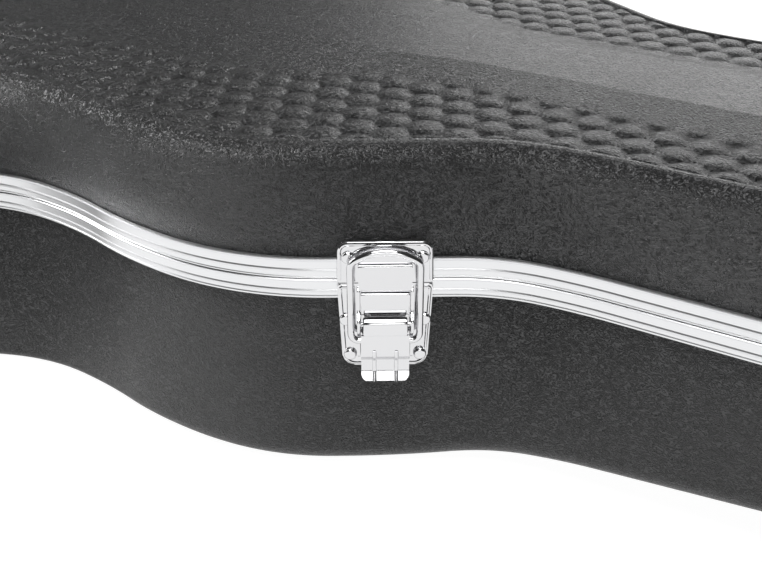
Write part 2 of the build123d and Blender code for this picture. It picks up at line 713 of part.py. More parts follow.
with BuildPart() as pocket_flap:
    with BuildSketch(Plane.XY.offset(SHELF_TOP - FLAP_THICK + 0.3)):
        with Locations(((POCKET_START + POCKET_END) / 2, 0)):
            RectangleRounded(
                POCKET_END - POCKET_START + 2 * (FLAP_REST - FLAP_GAP),
                2 * (POCKET_HALF + FLAP_REST - FLAP_GAP),
                5.0,
            )
    extrude(amount=FLAP_THICK)
pocket_flap.part.label = "pocket_flap"
export_step(pocket_flap.part, "parts/pocket_flap.step")

with BuildPart() as flap_tab:
    with BuildSketch(Plane.XY.offset(SHELF_TOP + 0.35)):
        with Locations((POCKET_START + 4.0, 0)):
            RectangleRounded(26.0, 16.0, 4.0)
    extrude(amount=1.2)
flap_tab.part.label = "flap_tab"
export_step(flap_tab.part, "parts/flap_tab.step")
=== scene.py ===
import json
from math import atan2, cos, pi, radians, sin, sqrt, tan

import bmesh
import bpy
import numpy as np
from mathutils import Matrix, Vector
from mathutils.geometry import delaunay_2d_cdt


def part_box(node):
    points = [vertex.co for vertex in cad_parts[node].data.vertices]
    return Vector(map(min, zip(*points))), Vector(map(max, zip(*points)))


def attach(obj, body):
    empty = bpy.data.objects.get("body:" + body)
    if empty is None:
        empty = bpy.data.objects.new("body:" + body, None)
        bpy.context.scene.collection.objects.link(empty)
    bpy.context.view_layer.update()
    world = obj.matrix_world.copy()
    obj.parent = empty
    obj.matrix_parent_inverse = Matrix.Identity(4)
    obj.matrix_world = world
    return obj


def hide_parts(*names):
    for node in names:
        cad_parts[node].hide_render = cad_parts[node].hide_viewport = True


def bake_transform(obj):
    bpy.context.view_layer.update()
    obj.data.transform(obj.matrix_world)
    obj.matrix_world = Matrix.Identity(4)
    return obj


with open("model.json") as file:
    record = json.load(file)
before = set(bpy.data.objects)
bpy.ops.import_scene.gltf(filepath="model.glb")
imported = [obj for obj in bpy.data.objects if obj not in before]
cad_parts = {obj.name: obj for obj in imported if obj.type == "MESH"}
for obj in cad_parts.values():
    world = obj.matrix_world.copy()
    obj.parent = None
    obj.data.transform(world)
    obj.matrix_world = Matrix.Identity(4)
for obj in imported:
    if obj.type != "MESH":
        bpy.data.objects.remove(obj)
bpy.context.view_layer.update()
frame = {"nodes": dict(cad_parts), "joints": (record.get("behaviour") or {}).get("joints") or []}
MM = 0.001

# ---------------------------------------------------------------- sizes, in millimetres
PARTING = 103.0
LID_TOP = PARTING + 57.7
BAND_RISE = 3.3
WALL = 3.0
BASE_EDGE_R = 12.0
BASE_WAIST_R = 5.0  # the lower edge is tighter at the waist
SEAM = 0.4

# The half outline, from the tail's centre: (radius or length, turn in degrees)
TAIL_X = -349.0
OUTLINE = [
    (420.0, -15.0),
    (147.5, -75.0),
    (231.0, -34.5),
    (110.0, 34.5),
    (200.0, 11.8),
    (225.0, -11.8),
    (128.0, -33.5),
    (53.5, 0.0),
    (85.0, 24.5),
    (250.0, 7.0),
    (165.0, 0.0),
    (1500.0, -3.0),
    (175.0, 0.0),
    (45.0, -85.0),
]
UNDERSIDE = [(530.0, 0.0), (400.0, 6.6), (155.0, 0.0), (400.0, -6.6), (500.0, 0.0)]
CONTOUR_STEP = 3.0

# The scales of the lid: six-sided cells in rows along X
CELL = 16.3
CELL_CENTRE = (194.0, -72.8)
CELL_DEPTH = 1.6
CELL_POWER = 2.8
BORDER_DEPTH = 1.1  # groove between the scales and the lid's rounded edge


# ---------------------------------------------------------------- outline
def walk(chain, x, y, heading, spacing):
    """Points and headings along a chain of arcs and straight runs."""
    points = []
    for size, turn in chain:
        length = abs(radians(turn)) * size if turn else size
        count = max(2, round(length / spacing))
        for index in range(count):
            share = index / count
            angle = radians(heading)
            if turn:
                side = size if turn > 0 else -size
                after = radians(heading + share * turn)
                at = (x + side * (sin(after) - sin(angle)), y - side * (cos(after) - cos(angle)))
                points.append((*at, heading + share * turn))
            else:
                at = (x + share * size * cos(angle), y + share * size * sin(angle))
                points.append((*at, heading))
        if turn:
            side = size if turn > 0 else -size
            after = radians(heading + turn)
            x += side * (sin(after) - sin(angle))
            y -= side * (cos(after) - cos(angle))
            heading += turn
        else:
            x += size * cos(angle)
            y += size * sin(angle)
    points.append((x, y, heading))
    return points


def closed_contour():
    """The whole outline, counted clockwise from the tail, and its outward normals."""
    half = walk(OUTLINE, TAIL_X, 0.0, 90.0, CONTOUR_STEP)
    end_x, end_y, end_heading = half[-1]
    flat_steps = 10
    half += [(end_x, end_y * (1 - k / flat_steps), end_heading) for k in range(1, flat_steps + 1)]
    half = np.array(half)
    normals = np.stack([-np.sin(np.radians(half[:, 2])), np.cos(np.radians(half[:, 2]))], 1)
    points = np.concatenate([half[:, :2], half[-2:0:-1, :2] * (1, -1)])
    outward = np.concatenate([normals, normals[-2:0:-1] * (1, -1)])
    return points, outward


CONTOUR, OUTWARD = closed_contour()


def loop_at(inset):
    """The outline's plan points, moved inwards."""
    return CONTOUR - np.reshape(inset, (-1, 1)) * OUTWARD


def ease(value, start, end):
    """0 before start, 1 after end, and smooth between them."""
    share = np.clip((value - start) / (end - start), 0, 1)
    return share * share * (3 - 2 * share)


def lid_edge_radius(x):
    """The lid's rounded edge: widest at the waist, tightest along the neck."""
    return 14.0 + 4.5 * ease(x, -170, -60) - 7.5 * ease(x, -25, 38) - 2.7 * ease(x, 190, 300)


def base_edge_radius(x):
    """The base's rounded lower edge, tighter at the waist."""
    waist = ease(x, -130, -40) - ease(x, 10, 110)
    return BASE_EDGE_R + (BASE_WAIST_R - BASE_EDGE_R) * waist


def inset_of(points):
    """How far points lie inside the outline."""
    depth = []
    for part in np.array_split(points, max(1, len(points) // 4000)):
        gap = part[:, None, :] - CONTOUR[None, :, :]
        nearest = (gap**2).sum(2).argmin(1)
        depth.append(-(gap[np.arange(len(part)), nearest] * OUTWARD[nearest]).sum(1))
    return np.concatenate(depth)


UNDER = np.array(walk(UNDERSIDE, TAIL_X - 20.0, 0.0, 0.0, 5.0))


def under_height(x):
    """The height of the case's underside, which rises under the neck."""
    return np.interp(x, UNDER[:, 0], UNDER[:, 1])


# ---------------------------------------------------------------- mesh helpers
def add_object(name, data):
    """A new object in the scene, made from a mesh, a camera or a light."""
    thing = bpy.data.objects.new(name, data)
    bpy.context.scene.collection.objects.link(thing)
    return thing


def mesh_of(work, name):
    """Ends a bmesh by turning it into a named mesh."""
    mesh = bpy.data.meshes.new(name)
    work.to_mesh(mesh)
    work.free()
    return mesh


def new_piece(name, vertices, faces, material, body, smooth):
    """A mesh piece in millimetres, shaded smooth, riding on a body."""
    mesh = bpy.data.meshes.new(name)
    mesh.from_pydata(np.asarray(vertices) * MM, [], faces)
    mesh.validate()
    piece = add_object(name, mesh)
    finish_piece(piece, material, body, smooth)
    return piece


def finish_piece(piece, material, body, smooth):
    """Faces turned outwards, smooth up to an angle in degrees, one material, on a body."""
    mesh = piece.data
    work = bmesh.new()
    work.from_mesh(mesh)
    bmesh.ops.recalc_face_normals(work, faces=work.faces)
    work.to_mesh(mesh)
    work.free()
    mesh.shade_smooth()
    mesh.set_sharp_from_angle(angle=radians(smooth))
    mesh.materials.clear()
    mesh.materials.append(material)
    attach(piece, body)


def bridge(low, high, count):
    """Quads between two closed rings of vertices, numbered from low and from high."""
    faces = []
    for k in range(count):
        after = (k + 1) % count
        faces.append((low + k, low + after, high + after, high + k))
    return faces


def loft(rings, first=0):
    """Quads between equal closed rings of vertices numbered from first."""
    count = len(rings[0])
    faces = []
    for row in range(len(rings) - 1):
        faces += bridge(first + row * count, first + (row + 1) * count, count)
    return faces


def ring_at(inset, height):
    """The outline moved inwards, at a height that may differ along it."""
    plan = loop_at(inset)
    return np.column_stack([plan, np.broadcast_to(height, len(plan))])


def fill(boundary, inner):
    """Triangles that fill a closed boundary through the inner points; both are plan points."""
    count = len(boundary)
    points = [Vector(p) for p in np.concatenate([boundary, inner])]
    edges = [(k, (k + 1) % count) for k in range(count)]
    plan, _, faces, origin, _, _ = delaunay_2d_cdt(points, edges, [], 1, 1e-4)
    return np.array([tuple(p) for p in plan]), faces, origin


# ---------------------------------------------------------------- materials
# The plastic's grain: how wide its creases are, and how much shade is painted into the creases and
# how much highlight onto the ridges, as shares of the plastic's own colour
CREASE_WIDTH = 0.11
CREASE_PAINTED_SHADE = 0.1
RIDGE_PAINTED_HIGHLIGHT = 2.3
FINE_GRAIN_SHARE = 0.55


def node_material(name):
    """A new material with its node tree and its surface shader."""
    material = bpy.data.materials.new(name)
    material.use_nodes = True
    tree = material.node_tree
    shader = tree.nodes["Principled BSDF"]
    return material, tree, shader


def add_node(tree, kind, **values):
    """A shader node whose inputs, or else its settings, take the named values."""
    node = tree.nodes.new(kind)
    for key, value in values.items():
        if key in node.inputs:
            node.inputs[key].default_value = value
        else:
            setattr(node, key, value)
    return node


def moulded_plastic(name, color, roughness, grain, depth):
    """Black moulded plastic with a wrinkled leather grain of short raised worms; its base colour
    has shade painted into the creases and highlights painted onto the ridges.
    """
    material, tree, shader = node_material(name)
    link = tree.links.new
    where = add_node(tree, "ShaderNodeTexCoord")
    flatter = add_node(tree, "ShaderNodeMapping")
    flatter.inputs["Scale"].default_value = (1.0, 1.0, 1.5)
    link(where.outputs["Object"], flatter.inputs["Vector"])
    wrinkle = add_node(
        tree, "ShaderNodeTexNoise", Scale=grain, Detail=1.5, Roughness=0.5, Distortion=1.6
    )
    link(flatter.outputs["Vector"], wrinkle.inputs["Vector"])
    middle = add_node(tree, "ShaderNodeMath", operation="SUBTRACT")
    link(wrinkle.outputs["Fac"], middle.inputs[0])
    middle.inputs[1].default_value = 0.5
    crease = add_node(tree, "ShaderNodeMath", operation="ABSOLUTE")
    link(middle.outputs[0], crease.inputs[0])
    soft = add_node(tree, "ShaderNodeMapRange", interpolation_type="SMOOTHSTEP")
    soft.inputs["From Max"].default_value = CREASE_WIDTH
    link(crease.outputs[0], soft.inputs["Value"])
    # the base colour paints shade into the grain's creases and highlights onto its ridges
    tone = add_node(tree, "ShaderNodeMix", data_type="RGBA")
    tone.inputs["A"].default_value = (*[CREASE_PAINTED_SHADE * c for c in color], 1)
    tone.inputs["B"].default_value = (*[RIDGE_PAINTED_HIGHLIGHT * c for c in color], 1)
    link(soft.outputs["Result"], tone.inputs["Factor"])
    link(tone.outputs["Result"], shader.inputs["Base Color"])
    fine = add_node(tree, "ShaderNodeTexNoise", Scale=grain * 2.7, Detail=2.0, Roughness=0.6)
    link(where.outputs["Object"], fine.inputs["Vector"])
    both = add_node(tree, "ShaderNodeMath", operation="MULTIPLY_ADD")
    link(fine.outputs["Fac"], both.inputs[0])
    both.inputs[1].default_value = FINE_GRAIN_SHARE
    link(soft.outputs["Result"], both.inputs[2])
    bump = add_node(tree, "ShaderNodeBump", Strength=1.0, Distance=depth * MM)
    link(both.outputs[0], bump.inputs["Height"])
    link(bump.outputs["Normal"], shader.inputs["Normal"])
    worn = add_node(tree, "ShaderNodeTexNoise", Scale=14.0, Detail=4.0)
    link(where.outputs["Object"], worn.inputs["Vector"])
    sheen = add_node(tree, "ShaderNodeMapRange")
    sheen.inputs["From Min"].default_value = 0.3
    sheen.inputs["From Max"].default_value = 0.7
    sheen.inputs["To Min"].default_value = roughness - 0.03
    sheen.inputs["To Max"].default_value = roughness + 0.04
    link(worn.outputs["Fac"], sheen.inputs["Value"])
    link(sheen.outputs["Result"], shader.inputs["Roughness"])
    return material


def polished_metal(name, color, roughness, brushed=0.0):
    """Metal with an uneven polish and, where it is brushed, fine marks."""
    material, tree, shader = node_material(name)
    link = tree.links.new
    where = add_node(tree, "ShaderNodeTexCoord")
    shader.inputs["Base Color"].default_value = (*color, 1)
    shader.inputs["Metallic"].default_value = 1.0
    marks = add_node(tree, "ShaderNodeTexNoise", Scale=900.0, Detail=2.0)
    link(where.outputs["Object"], marks.inputs["Vector"])
    dull = add_node(tree, "ShaderNodeMapRange")
    dull.inputs["To Min"].default_value = roughness
    dull.inputs["To Max"].default_value = roughness + 0.05
    link(marks.outputs["Fac"], dull.inputs["Value"])
    link(dull.outputs["Result"], shader.inputs["Roughness"])
    if brushed:
        bump = add_node(tree, "ShaderNodeBump", Strength=brushed, Distance=0.02 * MM)
        link(marks.outputs["Fac"], bump.inputs["Height"])
        link(bump.outputs["Normal"], shader.inputs["Normal"])
    return material


def plush(name, color, weave):
    """Short-haired cloth, lighter and darker where its nap lies differently."""
    material, tree, shader = node_material(name)
    link = tree.links.new
    where = add_node(tree, "ShaderNodeTexCoord")
    shader.inputs["Roughness"].default_value = 1.0
    shader.inputs["Sheen Weight"].default_value = 0.6
    shader.inputs["Sheen Roughness"].default_value = 0.5
    nap = add_node(tree, "ShaderNodeTexNoise", Scale=26.0, Detail=5.0, Distortion=0.6)
    fibre = add_node(tree, "ShaderNodeTexNoise", Scale=weave, Detail=3.0)
    link(where.outputs["Object"], nap.inputs["Vector"])
    link(where.outputs["Object"], fibre.inputs["Vector"])
    tone = add_node(tree, "ShaderNodeMix", data_type="RGBA")
    tone.inputs["A"].default_value = (*[0.6 * c for c in color], 1)
    tone.inputs["B"].default_value = (*[1.5 * c for c in color], 1)
    link(nap.outputs["Fac"], tone.inputs["Factor"])
    link(tone.outputs["Result"], shader.inputs["Base Color"])
    bump = add_node(tree, "ShaderNodeBump", Strength=0.8, Distance=0.4 * MM)
    link(fibre.outputs["Fac"], bump.inputs["Height"])
    link(bump.outputs["Normal"], shader.inputs["Normal"])
    return material


ABS = moulded_plastic("abs_black", (0.014, 0.0142, 0.0146), 0.30, 400.0, 1.2)
GRIP = moulded_plastic("grip_black", (0.02, 0.02, 0.021), 0.46, 700.0, 0.1)
ALUMINIUM = polished_metal("satin_aluminium", (0.74, 0.745, 0.755), 0.27, 0.4)
CHROME = polished_metal("chrome", (0.68, 0.68, 0.69), 0.07)
PLUSH = plush("plush_black", (0.022, 0.022, 0.025), 1400.0)
RIBBON = plush("ribbon_black", (0.012, 0.012, 0.013), 500.0)


# ---------------------------------------------------------------- lid
BAND_START, BAND_END = -300.0, 700.0
BAND_LAND_HALF = 31.0
BAND_FOOT_NECK, BAND_FOOT_BODY = 44.0, 72.0
BAND_WIDENS_FROM, BAND_WIDENS_OVER = 165.0, 105.0
BAND_TAIL_ROUND = 65.0
BAND_TAIL_PART = -200.0  # the rounded tail end lies below this X
LID_SKIRT = 4.2  # the lid shell starts this far above the seam, behind the valance
BASE_SKIRT = 1.6  # the base shell ends this far below the parting plane
BORDER_WIDTH = 1.6
SCALE_MARGIN = 3.2


def band_foot(x):
    """Half the band's width at its foot: narrow at the neck, easing out at the body."""
    share = np.clip((BAND_WIDENS_FROM - x) / BAND_WIDENS_OVER, 0, 1)
    widening = BAND_FOOT_BODY - BAND_FOOT_NECK
    wide = BAND_FOOT_NECK + widening * share * share * (3 - 2 * share)
    tail = np.clip((x - BAND_START) / BAND_TAIL_ROUND, 0, 1)
    rounded_end = BAND_FOOT_BODY * np.sqrt(tail * (2 - tail)) + 0.01
    return np.where(x < BAND_TAIL_PART, rounded_end, wide)


def band_height(x, y):
    """The raised band: flat in the middle, with sloping flanks and ends."""
    foot = band_foot(x)
    land = np.minimum(BAND_LAND_HALF, 0.6 * foot)
    across = (foot - np.abs(y)) / (foot - land)
    along = np.minimum((BAND_END - x) / 12.0, (x - BAND_START) / 30.0)
    return BAND_RISE * np.minimum(np.minimum(across, along), 1.0)


def cell_centres():
    """Centres of the scales on the -Y side; the +Y side is their mirror image."""
    row_gap = CELL * sqrt(3) / 2
    centres = []
    for row in range(-4, 12):
        y = CELL_CENTRE[1] - row * row_gap
        for column in range(-40, 40):
            x = CELL_CENTRE[0] + CELL * (column + 0.5 * (row % 2))
            centres.append((x, y))
    return np.array(centres)


CENTRES = cell_centres()


def scale_height(x, y):
    """The domes of the scales, from 0 at their tops down to the grooves between them."""
    flat = np.column_stack([x, -np.abs(y)])
    reach = []
    for part in np.array_split(flat, max(1, len(flat) // 8000)):
        gap = part[:, None, :] - CENTRES[None, :, :]
        reach.append(np.sqrt((gap**2).sum(2).min(1)))
    return -CELL_DEPTH * (np.concatenate(reach) / (CELL / 2)) ** CELL_POWER


def top_height(plan):
    """The lid's top: scales, the groove round them, and the band over both."""
    x, y = plan[:, 0], plan[:, 1]
    inside = inset_of(plan) - lid_edge_radius(x)
    groove = -BORDER_DEPTH + 0.9 * np.abs(inside - BORDER_WIDTH)
    field = np.minimum(scale_height(x, y), groove)
    slope = -BORDER_DEPTH * ease(inside, 0, BORDER_WIDTH)
    field = np.where(inside < BORDER_WIDTH, slope, field)
    return LID_TOP + np.maximum(field, band_height(x, y))


def scale_points():
    """Points of every scale: its centre, three rings, and the groove round it."""
    points = []
    corner = CELL / sqrt(3)
    for share in (1.0, 0.88, 0.66, 0.36):
        for k in range(12):
            angle = pi / 6 * k
            reach = corner if k % 2 else CELL / 2
            round_reach = CELL / 2 * 1.05
            mixed = share * (share * reach + (1 - share) * round_reach)
            points.append((mixed * cos(angle), mixed * sin(angle)))
    points.append((0.0, 0.0))
    points = np.array(points)
    every = (CENTRES[:, None, :] + points[None, :, :]).reshape(-1, 2)
    every = np.concatenate([every, every * (1, -1)])
    every = every[np.abs(every[:, 1]) > 1.0]
    depth = inset_of(every)
    depth -= lid_edge_radius(every[:, 0])
    keep = (depth > SCALE_MARGIN) & (np.abs(every[:, 1]) > band_foot(every[:, 0]) - 1.0)
    return np.unique(np.round(every[keep], 2), axis=0)


def band_points():
    """A grid over the centre band, closer together where it bends."""
    shares = (0.0, 0.35, 0.7, 0.97, 1.0, 1.03)
    points = []
    for x in np.arange(-296.0, 699.0, 6.0):
        foot = float(band_foot(np.array([x]))[0])
        land = min(BAND_LAND_HALF, 0.6 * foot)
        for share in shares:
            points += [(x, share * land), (x, -share * land)]
        for share in (0.35, 0.7, 0.95):
            y = land + share * (foot - land)
            points += [(x, y), (x, -y)]
    return np.unique(np.round(points, 2), axis=0)


def edge_round(steps):
    """Shares of the radius that a quarter round has moved inwards and up, from the wall."""
    angles = np.linspace(0, pi / 2, steps + 1)
    return [(1 - cos(a), sin(a)) for a in angles]


def add_filled(vertices, faces, plan, triangles, origin, edge_first, heights):
    """Adds a filled plan whose boundary is the ring of vertices that starts at edge_first."""
    count = len(CONTOUR)
    number = {}
    for k, source in enumerate(origin):
        on_edge = [n for n in source if n < count]
        if on_edge:
            number[k] = edge_first + on_edge[0]
        else:
            number[k] = len(vertices)
            vertices.append((plan[k][0], plan[k][1], heights[k]))
    faces += [tuple(number[v] for v in triangle) for triangle in triangles]


def lid_shell():
    """The lid's shell: wall, rounded edge and scaled top outside, plain faces inside."""
    low = PARTING + SEAM + LID_SKIRT
    count = len(CONTOUR)
    radius = lid_edge_radius(CONTOUR[:, 0])
    start = LID_TOP - radius
    rings = [ring_at(0.0, low + share * (start - low)) for share in np.linspace(0, 1, 5)[:-1]]
    rings += [ring_at(radius * i, start + radius * r) for i, r in edge_round(10)]
    inner_radius = radius - WALL
    inner = [
        ring_at(WALL + inner_radius * i, start + inner_radius * r)
        for i, r in reversed(edge_round(5))
    ]
    inner += [ring_at(WALL, low + share * (start - low)) for share in (0.5, 0.0)]
    vertices = list(np.concatenate(rings))
    faces = loft(rings)
    closer = [loop_at(radius + step) for step in (0.8, 1.6, 2.4)]
    inside = np.concatenate([*closer, scale_points(), band_points()])
    plan, top, origin = fill(loop_at(radius), inside)
    edge_first = len(vertices) - count
    add_filled(vertices, faces, plan, top, origin, edge_first, top_height(plan))
    first = len(vertices)
    vertices += list(np.concatenate(inner))
    faces += loft(inner, first)
    plan, ceiling, origin = fill(loop_at(radius), band_points()[::9])
    flat = np.full(len(plan), LID_TOP - WALL)
    add_filled(vertices, faces, plan, ceiling, origin, first, flat)
    inner_low = first + (len(inner) - 1) * count
    faces += bridge(0, inner_low, count)
    piece = new_piece("lid_shell_skin", vertices, faces, ABS, "lid", 40.0)
    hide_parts("lid_shell")


# ---------------------------------------------------------------- base
def base_shell():
    """The base's shell: wall, rounded edge and underside outside, plain faces inside."""
    top = PARTING - BASE_SKIRT
    count = len(CONTOUR)
    radius = base_edge_radius(CONTOUR[:, 0])
    edge = under_height(CONTOUR[:, 0]) + radius
    rings = [ring_at(0.0, edge + share * (top - edge)) for share in (1.0, 0.66, 0.33)]
    for i, r in edge_round(9):
        ring_floor = under_height(loop_at(radius * i)[:, 0])
        rings.append(ring_at(radius * i, ring_floor + radius * (1 - r)))
    vertices = list(np.concatenate(rings))
    faces = loft(rings)
    grid = [(x, y) for x in np.arange(-340, 720, 20.0) for y in np.arange(-220, 221, 20.0)]
    grid = np.array(grid)
    grid = grid[inset_of(grid) > BASE_EDGE_R + 5]
    plan, bottom, origin = fill(loop_at(radius), grid)
    low = under_height(plan[:, 0])
    add_filled(vertices, faces, plan, bottom, origin, len(vertices) - count, low)
    first = len(vertices)
    inner = [ring_at(WALL, top), ring_at(WALL, edge)]
    inner.append(ring_at(radius, under_height(loop_at(radius)[:, 0]) + WALL))
    vertices += list(np.concatenate(inner))
    faces += loft(inner, first)
    add_filled(vertices, faces, plan, bottom, origin, first + 2 * count, low + WALL)
    faces += bridge(0, first, count)
    piece = new_piece("base_shell_skin", vertices, faces, ABS, "base", 40.0)
    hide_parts("base_shell")


# ---------------------------------------------------------------- valance
def valance(name, node, body, profile):
    """An aluminium section, given as (outwards, height) points, run round the outline."""
    rings = [ring_at(-out, height) for out, height in profile]
    vertices = np.concatenate(rings)
    faces = loft(rings)
    count = len(CONTOUR)
    faces += bridge((len(profile) - 1) * count, 0, count)
    piece = new_piece(name, vertices, faces, ALUMINIUM, body, 25.0)
    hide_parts(node)


def half_profile(lip, bead, lower):
    """One half of the edge's section, from its inner lip round its face to the seam."""
    face, proud = 2.1, 2.4
    points = [(-4.4, lip), (-3.05, lip), (-3.05, 4.9), (0.05, 4.9), (0.05, lip - 0.3), (0.35, lip)]
    points += [(proud - 0.45, lip), (proud - 0.12, lip - 0.12), (proud, lip - 0.45)]
    points += [(proud, lip - 0.9), (face, lip - 1.3)]
    points += [(face, bead + 0.75), (proud - 0.1, bead + 0.45), (proud, bead)]
    points += [(proud - 0.1, bead - 0.45), (face, bead - 0.75)]
    points += [(face, SEAM + 1.1), (proud, SEAM + 0.75), (proud, SEAM + 0.3), (proud - 0.3, SEAM)]
    if lower:
        return [(out, SEAM - height) for out, height in points] + TONGUE_PROFILE
    return points + GROOVE_PROFILE


TONGUE_PROFILE = [(-0.7, 0.0), (-0.75, 1.5), (-0.95, 1.6), (-2.05, 1.6)]
TONGUE_PROFILE += [(-2.25, 1.5), (-2.3, 0.0), (-4.4, 0.0)]
GROOVE_PROFILE = [(-0.2, 0.4), (-0.2, 3.0), (-2.8, 3.0), (-2.8, 0.4), (-4.4, 0.4)]
UPPER_PROFILE = half_profile(9.8, 4.3, lower=False)
LOWER_PROFILE = half_profile(9.2, 5.8, lower=True)


lid_shell()
base_shell()
valance("valance_lower", "base_valance", "base", [(o, PARTING + h) for o, h in LOWER_PROFILE])
valance("valance_upper", "lid_valance", "lid", [(o, PARTING + h) for o, h in UPPER_PROFILE])

# ---------------------------------------------------------------- fittings
PLATE_BACK = 2.45
PLATE_FACE = PLATE_BACK + 1.15
STRIP_FACE = PLATE_BACK + 3.2
LEVER_V, LEVER_P = -18.6, PLATE_BACK + 5.7
BAIL_V, BAIL_P = -26.9, PLATE_BACK + 5.1
BAIL_R, BAIL_LEG = 1.5, 31.6
TAB_END, TAB_HALF, TAB_CORNER = -46.6, 10.35, 3.2
LEVER_FACE = LEVER_P + 2.4
LATCHES = ("tail", "bout", "shoulder", "neck", "head")


def fitting_matrix(joint_name, v, p):
    """From a fitting's own frame (u along the wall, v up, p outwards) to the case's."""
    joint = next(j for j in frame["joints"] if j["name"] == joint_name)
    along = -Vector(joint["axis"])
    up = Vector((0, 0, 1))
    out = along.cross(up)
    origin = Vector(joint["pos_m"]) / MM - v * up - p * out
    return Matrix([(*row,) for row in zip(along, up, out, origin)]).to_4x4()


def rounded(corners, segments=5, closed=True):
    """Points along an outline whose corners are given as (x, y, radius)."""
    points = []
    for k, (x, y, radius) in enumerate(corners):
        here = Vector((x, y))
        if radius == 0 or (not closed and k in (0, len(corners) - 1)):
            points.append((x, y))
            continue
        before = (Vector(corners[k - 1][:2]) - here).normalized()
        after = (Vector(corners[(k + 1) % len(corners)][:2]) - here).normalized()
        half = before.angle(after) / 2
        centre = here + (before + after).normalized() * radius / sin(half)
        start = here + before * radius / tan(half) - centre
        end = here + after * radius / tan(half) - centre
        first = atan2(start.y, start.x)
        turn = (atan2(end.y, end.x) - first + pi) % (2 * pi) - pi
        for step in range(segments + 1):
            angle = first + turn * step / segments
            points.append((centre.x + radius * cos(angle), centre.y + radius * sin(angle)))
    return points


def mirrored(corners):
    """Corners of a shape from those of its +u half, listed from the top down."""
    return corners + [(-x, y, radius) for x, y, radius in reversed(corners)]


def flat_on_wall(a, b, c):
    """Outline along the wall, depth outwards."""
    return (a, b, c)


def across_wall(a, b, c):
    """Outline up and outwards, depth along the wall."""
    return (c, a, b)


def across_case(a, b, c):
    """Outline in the case's XZ plane, depth along Y."""
    return (a, c, b)


def prism(work, outline, place, low, high, bevel=0.3, segments=3):
    """Adds a prism with rounded rims: place(a, b, c) puts an outline point at depth c."""
    count = len(outline)
    ends = [[work.verts.new(place(a, b, c)) for a, b in outline] for c in (low, high)]
    caps = [work.faces.new(ends[0][::-1]), work.faces.new(ends[1])]
    for k in range(count):
        after = (k + 1) % count
        work.faces.new((ends[0][k], ends[0][after], ends[1][after], ends[1][k]))
    rims = list(caps[0].edges) + list(caps[1].edges)
    bmesh.ops.bevel(
        work, geom=rims, offset=bevel, segments=segments, profile=0.5, affect="EDGES"
    )


def close_bar(work, rings):
    """Joins rings of bmesh vertices into a bar with two closed ends."""
    sides = len(rings[0])
    for low, high in zip(rings, rings[1:]):
        for k in range(sides):
            after = (k + 1) % sides
            work.faces.new((low[k], low[after], high[after], high[k]))
    work.faces.new(rings[0][::-1])
    work.faces.new(rings[-1])


def tube(work, path, radius, sides):
    """Adds a round bar along points (position, in-plane normal, binormal)."""
    rings = []
    for centre, normal, binormal in path:
        ring = []
        for k in range(sides):
            angle = 2 * pi * k / sides
            outward = cos(angle) * normal + sin(angle) * binormal
            ring.append(work.verts.new(centre + radius * outward))
        rings.append(ring)
    close_bar(work, rings)


def plane_path(points, depth):
    """A tube's path from walked (u, v, heading) points at one depth."""
    return [
        (Vector((x, y, depth)), Vector((-sin(radians(h)), cos(radians(h)), 0)), Vector((0, 0, 1)))
        for x, y, h in points
    ]


def sheet_outline(line, thickness):
    """The closed outline of a bent sheet from its middle line."""
    line = [Vector(p) for p in line]
    sides = ([], [])
    for k, here in enumerate(line):
        before = line[max(k - 1, 0)]
        after = line[min(k + 1, len(line) - 1)]
        along = (after - before).normalized()
        normal = Vector((-along.y, along.x)) * thickness / 2
        sides[0].append(tuple(here + normal))
        sides[1].append(tuple(here - normal))
    return sides[0] + sides[1][::-1]


def ring_outline(x, y, radius, count=20):
    """A circle as an outline."""
    angles = [2 * pi * k / count for k in range(count)]
    return [(x + radius * cos(angle), y + radius * sin(angle)) for angle in angles]


def keeper_mesh(work):
    """The lid's half of a latch: a plate with the strip that the bail hooks behind."""
    corners = mirrored([(19.7, 18.5, 4.5), (20.2, -0.7, 0.8)])
    prism(work, rounded(corners, 7), flat_on_wall, PLATE_BACK, PLATE_FACE, 0.5)
    # a rolled rim round the top, and an arched rib that the bail lies in
    rim = [(19.3, 0.6, 0.0), (18.9, 17.4, 3.6), (-18.9, 17.4, 3.6), (-19.3, 0.6, 0.0)]
    tube(work, bar_path(rounded(rim, 7, closed=False), PLATE_FACE - 0.3), 0.95, 10)
    arch = [(17.0 * sin(a), -2.2 + 15.8 * cos(a)) for a in np.linspace(-0.85, 0.85, 25)]
    tube(work, bar_path(arch, PLATE_FACE - 0.3), 0.9, 10)
    strip = [(8.3, PLATE_FACE - 0.4, 0.0), (8.3, STRIP_FACE, 1.0), (-3.9, STRIP_FACE, 0.5)]
    strip += [(-3.9, STRIP_FACE - 1.2, 0.0), (-0.2, STRIP_FACE - 1.2, 0.0)]
    strip += [(-0.2, PLATE_FACE - 0.4, 0.0)]
    prism(work, rounded(strip), across_wall, -11.3, 11.3, 0.3)


def bar_path(line, depth):
    """A tube's path along plain (u, v) points at one depth."""
    line = [Vector(p) for p in line]
    path = []
    for k, here in enumerate(line):
        along = (line[min(k + 1, len(line) - 1)] - line[max(k - 1, 0)]).normalized()
        path.append((Vector((*here, depth)), Vector((-along.y, along.x, 0)), Vector((0, 0, 1))))
    return path


